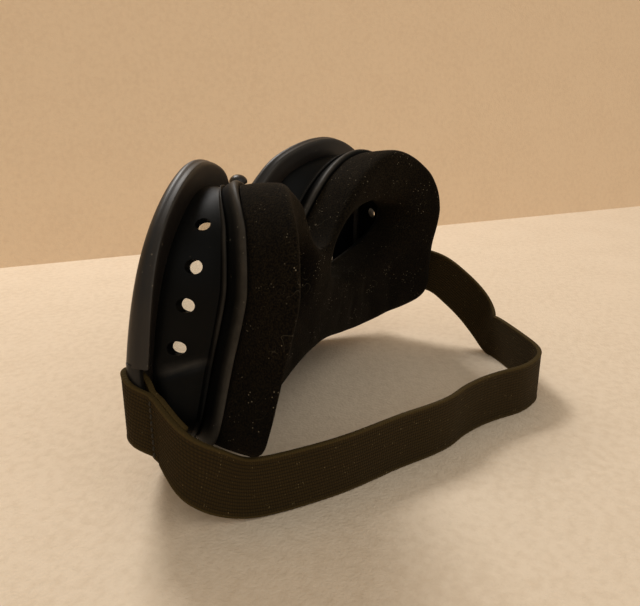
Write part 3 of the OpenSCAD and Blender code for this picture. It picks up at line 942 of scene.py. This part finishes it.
@dataclass
class SoftWall:
    """The soft wall with its vent holes, and the ridge at its rear."""

    shape: FrameShape
    thick: float = 2.0
    ridge: float = 0.9
    vent_d: float = 4.2
    vent_count: int = 4
    vent_first: float = 21.0
    vent_pitch: float = 12.5
    vent_share: float = 0.4
    vent_lean: float = 0.045
    fold_z: float = 46.0
    fold_out: float = 1.6

    def row(self, t: float, distance: float) -> Grid:
        """Returns a row of the wall that starts just inside the rim."""
        return self.shape.wall_row(t, distance, self.shape.rim_depth - 0.3)

    def vent(self, number: int, side: Side) -> Piece:
        """Makes the round cutter of one vent hole.

        Args:
            number: The hole, from the brow up.
            side: The side of the goggles.

        Returns:
            The cutter.
        """
        row = self.shape.wall_row(self.vent_share + self.vent_lean * number, self.thick / 2,
                                  self.shape.rim_depth + SEAT)
        stretch = row[3 * self.shape.steps:]
        k = int(np.searchsorted(travelled(stretch)[1:], self.vent_first + number * self.vent_pitch))
        place, way = stretch[k + 1], stretch[k + 1] - stretch[k]
        lean = math.atan2(way[0], way[2])
        deselect()
        bpy.ops.mesh.primitive_cylinder_add(
            vertices=48, radius=self.vent_d / 2 * MM, depth=6 * self.thick * MM,
            location=(side.value * place[0] * MM, place[1] * MM, place[2] * MM),
            rotation=(0, side.value * (math.pi / 2 + lean), 0))
        tool = bpy.context.object
        bpy.ops.object.transform_apply(location=True, rotation=True, scale=True)
        return tool

    def fold(self, obj: Piece) -> None:
        """Swells the wall's lower temples outwards below a soft step, and marks a painted highlight on the
        ridge, stronger higher up, and along the step.
        """
        points = points_of(obj) / MM
        x, y, z = points.T
        seen = points[:, [0, 2]]
        down = self.fold_z + 0.17 * (y - 30) - z
        before_lip = self.shape.lip_y(seen) - y
        inside = (ramp(np.abs(x), 55, 70) * ramp(y - self.shape.rim_y(seen), 9, 13)
                  * ramp(before_lip, 4.5, 8.5))
        # Painted highlight: a light line on the ridge, stronger higher up, and one along the step, as if
        # lit from above.
        ridge = band(self.shape.flare_depth - before_lip, -0.9, 0.8) * np.clip((z - 45) / 20, 0, 0.7)
        painted_highlight = ridge + 0.7 * band(down, 0.6, 1.6) * inside
        points[:, 0] += np.sign(x) * self.fold_out * eased(ramp(down, 0, 3)) * ramp(z, 10, 26) * inside
        put_points(obj, points * MM)
        paint_highlight(obj, painted_highlight)

    def build(self) -> None:
        """Makes the wall, dresses it and puts it on the frame."""
        out = [self.row(t, 0) for t in (0, 0.08, 0.17, 0.27, 0.37, 0.47, 0.57, 0.67, 0.76, 0.84, 0.885)]
        bead = [(0.9, -0.25), (0.918, -0.65), (0.94, -0.88), (0.965, -0.9), (0.985, -0.75), (1.0, -0.4)]
        back = [self.row(t, self.thick) for t in (1, 0.9, 0.8, 0.7, 0.6, 0.5, 0.4, 0.3, 0.2, 0.1, 0)]
        rows = [*out, *(self.row(t, d * self.ridge / 0.9) for t, d in bead), *back]
        obj = extruded("wall", rows, ring=True)
        self.fold(obj)
        cut(obj, [self.vent(k, side) for k in range(self.vent_count) for side in Side])
        smooth(obj, 38)
        settle(obj, WALL.material(), "frame_wall")


@dataclass
class EyeSheet:
    """A curved sheet behind the face with an opening for each eye, drawn as two halves."""

    shape: FrameShape
    eye: EyeOpening
    centre_steps: int = 24

    def half_loop(self, outline: Grid) -> Grid:
        """Returns the +X half of an outline, closed by points down the centre line."""
        half = len(outline) // 2
        t = (np.arange(1, self.centre_steps) / self.centre_steps)[:, None]
        loop = np.vstack([outline[:half + 1], mix(outline[half], outline[0], t)])
        loop[[0, *range(half, len(loop))], 0] = 0
        return loop

    def row(self, distance: float, share: float, depth: float | Depth,
            grow: float = 0.0) -> Grid:
        """Places one row between the outline and the eye opening.

        Args:
            distance: How far in from the outline the row starts.
            share: How far it lies towards the eye opening, from 0 to 1.
            depth: Its depth behind the flange's front face, or a function of its points.
            grow: How much the opening is grown.

        Returns:
            The row's places.
        """
        edge = self.half_loop(inset(self.shape.lip_outline(), distance))
        p = mix(edge, self.eye.edge(edge, grow), share)
        return self.shape.on_lip(p, depth(p) if callable(depth) else depth)

    def sheet(self, name: str, rows: Sequence[Grid], ring: bool) -> Piece:
        """Builds the half from its rows, opens it along the centre line and mirrors it."""
        obj = extruded(name, rows, ring=ring)
        pick(obj, np.abs(points_of(obj)[:, 0]) < 1e-7)
        with editing(obj, everything=False):
            bpy.ops.mesh.select_mode(type="FACE")
            bpy.ops.mesh.delete(type="ONLY_FACE")
            bpy.ops.mesh.select_mode(type="VERT")
            bpy.ops.mesh.select_all(action="SELECT")
            bpy.ops.mesh.delete_loose()
        modify(obj, "MIRROR", use_axis=(True, False, False), use_mirror_merge=True, merge_threshold=1e-5)
        tidy(obj)
        return obj


@dataclass
class FaceFlange(EyeSheet):
    """The flared sheet behind the wall."""

    wall: float = 2.0

    def build(self) -> None:
        """Makes the flange, paints a highlight along its lip, dresses it and puts it on the frame."""
        out, deep, thick = self.shape.flare_out, self.shape.flare_depth, self.shape.flange_thick
        inner = out + self.wall
        outside = [(inner, 0), (inner, -deep + 0.2), (out + 0.6, -deep + 0.1), (out, -deep + 0.05),
                   (1.75, -2.9), (1.05, -1.7), (0.5, -0.7), (0.16, 0), (0.0, 0.6), (0.0, 1.1),
                   (0.12, 1.55), (0.45, 1.88), (1.0, thick)]
        back = [0.04, 0.1, 0.2, 0.3, 0.4, 0.5, 0.6, 0.7, 0.8, 0.9, 0.96]
        rows = [self.row(d, 0, y) for d, y in outside]
        rows += [self.row(1 - s, s, thick, 1.0) for s in back]
        rows += [self.row(0, 1, thick - 0.1, 1.25), self.row(0, 1, thick - 0.45, 0.95),
                 self.row(inner, 1, 0.4, 0.95), self.row(inner, 1, 0, 1.25)]
        rows += [self.row(inner, s, 0, 1.0) for s in back[::-2]]
        obj = self.sheet("flange", rows, ring=True)
        smooth(obj, 40)
        # The lip's edge is painted lighter, as a highlight.
        edge = nearest(points_of(obj)[:, [0, 2]] / MM, self.shape.lip_outline())
        paint_highlight(obj, np.clip(1.15 - edge / 0.6, 0, 1) * 0.75)
        settle(obj, WALL.material(), "face_flange")


@dataclass
class FacePad(EyeSheet):
    """The foam pad and its velour cover."""

    foam_thick: float = 14.5
    velour_thick: float = 0.8
    cover_room: float = 0.9
    foot_in: float = 1.4
    side_share: float = 0.8
    eye_share: float = 0.68
    outer_round: float = 3.4
    eye_round: float = 6.0
    swell_cap: float = 0.9
    swell_frames: int = 20

    def crown(self, thick: float, skin: float) -> Depth:
        """Returns the depth of a padded face over a point, rounded off at all its edges."""
        outline = inset(self.shape.lip_outline(), skin)
        eyes = self.eye.loop(skin)
        base = self.shape.flange_thick + SEAT

        def rounded(low: float, near: Grid) -> Grid:
            """Returns a quarter-round rise from low to 1."""
            return low + (1 - low) * np.sqrt(1 - (1 - near) ** 2)

        def depth(p: Grid) -> Grid:
            """Returns how deep the face lies over points."""
            over = rounded(self.side_share, ramp(nearest(p, outline), 0, self.outer_round))
            eye = rounded(self.eye_share, ramp(nearest(p, eyes), 0, self.eye_round))
            return base + thick * over * eye

        return depth

    def rows(self, thick: float, skin: float) -> list[Grid]:
        """Returns the rows of a pad from its outer foot over its crown to the eye opening."""
        base = self.shape.flange_thick + SEAT
        crown = self.crown(thick, skin)
        side = [self.row(skin + self.foot_in * (1 - math.sin(t * math.pi / 2)), 0,
                         base + self.side_share * thick * t) for t in (0, 0.15, 0.35, 0.58, 0.8)]
        shares = [0.5 - 0.5 * math.cos(math.pi * k / 22) for k in range(22)]
        top = [self.row(skin, s, crown, skin) for s in shares]
        low = self.eye_share * thick
        eye = [self.row(skin, 1, base + low * t, skin + g)
               for t, g in ((1, 0), (0.85, -0.3), (0.6, -0.45), (0.3, -0.3), (0, 0.2))]
        return [*side, *top, *eye]

    def swell(self, obj: Piece) -> None:
        """Lets the cover swell as cloth over foam, held at its foot."""
        before = points_of(obj)
        deep = before[:, 1] / MM - self.shape.lip_y(before[:, [0, 2]] / MM)
        held = obj.vertex_groups.new(name="foot")
        low = self.shape.flange_thick + SEAT + 1.2
        held.add([int(i) for i in np.nonzero(deep < low)[0]], 1.0, "REPLACE")
        cloth = obj.modifiers.new("cloth", "CLOTH")
        for key, value in (("vertex_group_mass", "foot"), ("quality", 4), ("mass", 0.25),
                           ("tension_stiffness", 12), ("compression_stiffness", 12),
                           ("bending_stiffness", 1.5), ("use_pressure", True),
                           ("uniform_pressure_force", 3.0)):
            setattr(cloth.settings, key, value)
        cloth.settings.effector_weights.gravity = 0
        cloth.point_cache.frame_end = self.swell_frames
        for step in range(1, self.swell_frames + 1):
            bpy.context.scene.frame_set(step)
        move = points_of(obj.evaluated_get(bpy.context.evaluated_depsgraph_get())) - before
        obj.modifiers.clear()
        far = np.linalg.norm(move, axis=1, keepdims=True)
        cap = self.swell_cap * MM
        LOG.info("cover swells %.2f mm at most", float(far.max()) / MM)
        put_points(obj, before + move * np.minimum(1, cap / np.maximum(far, 1e-9)))
        obj.vertex_groups.clear()
        bpy.context.scene.frame_set(1)

    def build(self) -> None:
        """Makes the foam and its cover, dresses them and puts them on the frame."""
        foam = self.sheet("foam", self.rows(self.foam_thick, self.velour_thick + SEAT), ring=True)
        smooth(foam, 60)
        thick = self.foam_thick + self.velour_thick + self.cover_room
        cover = self.sheet("cover", self.rows(thick, 0.0), ring=False)
        lumps(cover, 26.0, 0.55)
        lumps(cover, 9.0, 0.22, 3.0)
        self.swell(cover)
        modify(cover, "SOLIDIFY", thickness=self.velour_thick * MM, offset=-1.0)
        smooth(cover, 60)
        settle(foam, Foam().material(), "pad_foam")
        settle(cover, Velour().material(), "pad_velour")


@dataclass
class HeadStrap:
    """The elastic: its run round the back, and the end folded and sewn round each bar."""

    rim: FrontRim
    width: float = 20.0
    thick: float = 1.6
    low: float = 25.0
    loop_len: float = 6.5
    tail_len: float = 9.0
    drop: float = 36.0
    gap: float = 0.15
    bar_r: float = 2.2
    ribs: int = 18
    rib_height: float = 0.08
    stitch_y: float = 5.6
    stitch_pitch: float = 2.0
    stitch_len: float = 1.5
    steps: int = 12
    ease: int = 16
    lean: float = 0.75
    route: tuple[Spot, ...] = (
        (89.5, 35.5, 11), (87, 40, 6), (82.6, 45, 2.4), (76.5, 52, 0.3), (65, 62, 0), (52, 71.5, 0),
        (33.5, 81.8, 0), (22.5, 89, 0), (13, 93.8, 0), (4, 96.2, 0), (-6, 100.5, 0),
        (-15, 106.2, 0), (-22.5, 112, 0), (-30, 115.2, 0), (-38, 116.6, 0), (-46, 114.5, 0),
        (-55, 108.5, 0), (-65, 101, 0), (-73, 94.5, 0), (-77.5, 89, 0.3), (-82, 83, 5),
        (-84, 75, 13), (-85, 66, 20), (-86, 57, 25))

    @property
    def half_thick(self) -> float:
        """Half the thickness of two layers of the elastic."""
        return self.thick + self.gap

    def section(self) -> tuple[Grid, Grid]:
        """Returns the elastic's section: places across its width and through its thickness."""
        u = np.linspace(0.35, self.width - 0.35, self.ribs * 4 + 1)
        rib = self.rib_height * np.abs(np.sin(math.pi * u * self.ribs / self.width))
        skin = rib + 0.16 * band(np.minimum(u, self.width - u), 0, 1.6)
        t = self.thick
        edge_u = np.array([self.width - 0.12, self.width, self.width, self.width - 0.12])
        edge_v = np.array([0.22, 0.55, t - 0.55, t - 0.22])
        across = np.concatenate([u, edge_u, u[::-1], self.width - edge_u])
        through = np.concatenate([0.14 - skin, edge_v, t - 0.14 + skin[::-1], edge_v[::-1]])
        return across, through

    def ribbon(self, name: str, low: Grid, normal: Grid, rise: Grid, offset: float) -> Piece:
        """Builds a length of elastic.

        Args:
            name: The piece's name.
            low: Points along its lower edge.
            normal: The direction through the elastic at each point.
            rise: The direction across the elastic at each point.
            offset: How far along normal its outer face lies.

        Returns:
            The piece, with a UV map across and along the cloth in metres.
        """
        u, v = self.section()
        rows = [p + u[:, None] * r + (offset + v)[:, None] * n for p, n, r in zip(low, normal, rise)]
        far = travelled(low)
        obj = extruded(name, rows, caps=True, angle=60)
        count = len(u)
        layer = obj.data.uv_layers.active or obj.data.uv_layers.new(name="cloth")
        spots = np.empty(len(obj.data.loops), np.int32)
        obj.data.loops.foreach_get("vertex_index", spots)
        uv = np.stack([u[spots % count], far[spots // count]], 1) * MM
        layer.data.foreach_set("uv", uv.astype(np.float32).ravel())
        return obj

    def run(self) -> tuple[Piece, float]:
        """Builds the run between the two sewn ends, and returns it with its length."""
        x, y = self.rim.bar_place(Side.RIGHT)
        back = self.loop_len + 0.4
        start = np.array([x, y + back, self.low - back * math.tan(math.radians(self.drop))])
        end = np.array([-x, y + back, self.low])
        last = np.array(self.route[-1], float)
        turn = mix(end, last, self.tail_len / np.linalg.norm(last - end))
        low = evened(open_curve([start, *self.route, turn, end], self.steps), self.ease)
        way = np.gradient(low, axis=0)
        way[0], way[-1] = (0, 1, 0), (0, -1, 0)
        ahead, along = unit(way[:, :2]), unit(way)
        number = np.arange(len(low))
        clear = ramp(np.minimum(number, number[::-1]), 0, 2 * self.steps)
        rise = np.array([0, 0, 1.0]) - (self.lean * clear * along[:, 2])[:, None] * along
        rise = unit(evened(rise, 3 * self.steps))
        normal = np.stack([-ahead[:, 1], ahead[:, 0], np.zeros(len(low))], 1)
        far = travelled(low)
        made = [self.ribbon("strap_run", low, normal, rise, -self.half_thick)]
        for name, part in (("tail_a", far <= self.tail_len), ("tail_b", far >= far[-1] - self.tail_len)):
            made.append(self.ribbon(name, low[part], normal[part], rise[part],
                                    self.half_thick - self.thick))
        return join(made), float(far[-1])

    def loop(self, side: Side, drop: float) -> tuple[Piece, float]:
        """Builds the elastic's end folded round a bar, and returns it with its length."""
        x, y = self.rim.bar_place(side)
        leg = self.half_thick - self.thick / 2
        r = self.bar_r + 0.08 + self.thick / 2
        arc = [(r * math.cos(a), -r * math.sin(a)) for a in np.linspace(0, math.pi, 9)]
        out = [(leg, self.loop_len + 0.33), (leg, 5.7), (leg + 0.08, 4.6), (2.05, 3.0), (2.92, 1.25)]
        plan = open_curve([*out, *arc, *((-a, b) for a, b in out[::-1])], 4)
        way = unit(np.gradient(plan, axis=0))
        normal = np.stack([way[:, 1], -way[:, 0], np.zeros(len(plan))], 1)
        slope = math.tan(math.radians(drop))
        low = np.stack([x + plan[:, 0], y + plan[:, 1], self.low - plan[:, 1] * slope], 1)
        rise = np.tile([0, 0, 1.0], (len(plan), 1))
        name = f"strap_end_{side.name.lower()}_fold"
        return self.ribbon(name, low, normal, rise, -self.thick / 2), float(travelled(plan)[-1])

    def stitches(self, side: Side, drop: float) -> Piece:
        """Builds the two rows of stitches that close a folded end."""
        x, y = self.rim.bar_place(side)
        rows = int((self.width - 2) // self.stitch_pitch)
        slope = self.stitch_y * math.tan(math.radians(drop))
        first = self.low + (self.width - rows * self.stitch_pitch) / 2 - slope
        form = ((0, 0.12, 0.3), (0.08, 0.24, 0.14), (0.25, 0.3, 0.02), (0.5, 0.32, 0),
                (0.75, 0.3, 0.02), (0.92, 0.24, 0.14), (1, 0.12, 0.3))
        made = []
        for face in (-1, 1):
            for k in range(rows):
                bottom = first + k * self.stitch_pitch
                loops = [disc(x + face * (self.half_thick + 0.12 - sink), y + self.stitch_y,
                              bottom + self.stitch_len * t, r, 10) for t, r, sink in form]
                made.append(extruded(f"stitch_{face}_{k}", loops, caps=True))
        obj = join(made)
        obj.name = f"stitches_{side.name.lower()}"
        smooth(obj, 60)
        return obj

    def build(self) -> None:
        """Makes the strap's pieces, dresses them and puts the run on the frame."""
        cloth, thread = Elastic(ribs=self.ribs).material(), Thread().material()
        run, length = self.run()
        settle(run, cloth, "strap")
        tails = 2 * self.tail_len
        self.width * MM
        round((length + tails) * MM, 3)
        LOG.info("%s: %.0f mm long", run.name, length)
        for side, drop in ((Side.RIGHT, self.drop), (Side.LEFT, 0.0)):
            name = side.name.lower()
            fold, length = self.loop(side, drop)
            seam = self.stitches(side, drop)
            x, y = self.rim.bar_place(side)
            height = (self.low + self.width / 2) * MM
            settle(fold, cloth, f"strap_loop_{name}", ride=False)
            settle(seam, thread, f"stitching_{name}", ride=False)
            for obj in (fold, seam):
                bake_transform(obj)
            self.width * MM
            round(length * MM, 4)


@dataclass
class Studio:
    """The camera, the pale floor and backdrop, and the soft lights."""

    place: Spot = (0.2229, 0.1385, 0.1234)
    pitch: float = 71.5
    heading: float = 114.1
    focal: float = 37.74
    seam: tuple[Flat, Flat] = ((-0.02, -0.31), (-0.62, 0.24))

    def camera(self) -> None:
        """Places the camera at the photograph's angle."""
        deselect()
        bpy.ops.object.camera_add(location=self.place,
                                  rotation=(math.radians(self.pitch), 0, math.radians(self.heading)))
        camera = bpy.context.object
        camera.data.lens, camera.data.sensor_width = self.focal, 36.0
        camera.data.clip_start = 0.01
        bpy.context.scene.camera = camera

    def ground(self) -> None:
        """Lays the floor and stands the backdrop behind the goggles."""
        deselect()
        bpy.ops.mesh.primitive_plane_add(size=6)
        floor = bpy.context.object
        floor.name = "floor"
        dress(floor, Ground("floor_cloth", linear(238, 220, 196), linear(229, 210, 185)).material())
        a, b = (Vector((*p, 0)) for p in self.seam)
        way = (b - a).normalized()
        bpy.ops.mesh.primitive_plane_add(size=1)
        wall = bpy.context.object
        wall.name = "backdrop"
        out = Vector((way.y, -way.x, 0))
        out = out if out.dot(Vector((*self.place[:2], 0)) - a) < 0 else -out
        low, high = a - way * 3, a + way * 3
        lean = out * 0.35 + Vector((0, 0, 2.0))
        put_points(wall, np.array([low, high, low + lean, high + lean]))
        dress(wall, Ground("backdrop_cloth", linear(214, 186, 152), linear(207, 178, 144), 0.27).material())
        wall.visible_shadow = False

    def lamp(self, name: str, place: Spot, size: float, power: float, colour: Rgb) -> None:
        """Hangs a soft square lamp.

        Args:
            name: Its name.
            place: Where it hangs, in metres.
            size: Its side.
            power: Its power in watts.
            colour: Its colour.
        """
        deselect()
        aim = Vector((0, 0.04, 0.04)) - Vector(place)
        bpy.ops.object.light_add(type="AREA", location=place,
                                 rotation=aim.to_track_quat("-Z", "Y").to_euler())
        lamp = bpy.context.object
        lamp.name = name
        lamp.data.size, lamp.data.energy, lamp.data.color = size, power, colour

    def build(self) -> None:
        """Sets the stage round the goggles."""
        self.camera()
        self.ground()
        self.lamp("key", (-0.45, -0.58, 0.95), 0.34, 7.6, (1.0, 0.98, 0.955))
        self.lamp("fill", (0.6, 0.9, 0.9), 1.2, 3.0, (1.0, 0.98, 0.95))
        world = bpy.data.worlds.new("studio")
        bpy.context.scene.world = world
        world.use_nodes = True
        back = world.node_tree.nodes["Background"]
        back.inputs["Color"].default_value = (1.0, 0.93, 0.82, 1)
        back.inputs["Strength"].default_value = 0.42
        bpy.context.scene.view_settings.view_transform = "Standard"


def main() -> None:
    """Builds the goggles piece by piece and logs each piece's face count and the strap's length."""
    logging.basicConfig(level=logging.INFO, format="%(name)s %(message)s")
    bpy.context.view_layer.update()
    Studio().build()
    shape, eye = FrameShape(), EyeOpening()
    rim = FrontRim(shape)
    rim.build()
    SoftWall(shape).build()
    FaceFlange(shape, eye).build()
    FacePad(shape, eye).build()
    HeadStrap(rim).build()
    deselect()


if __name__ == "__main__":
    main()
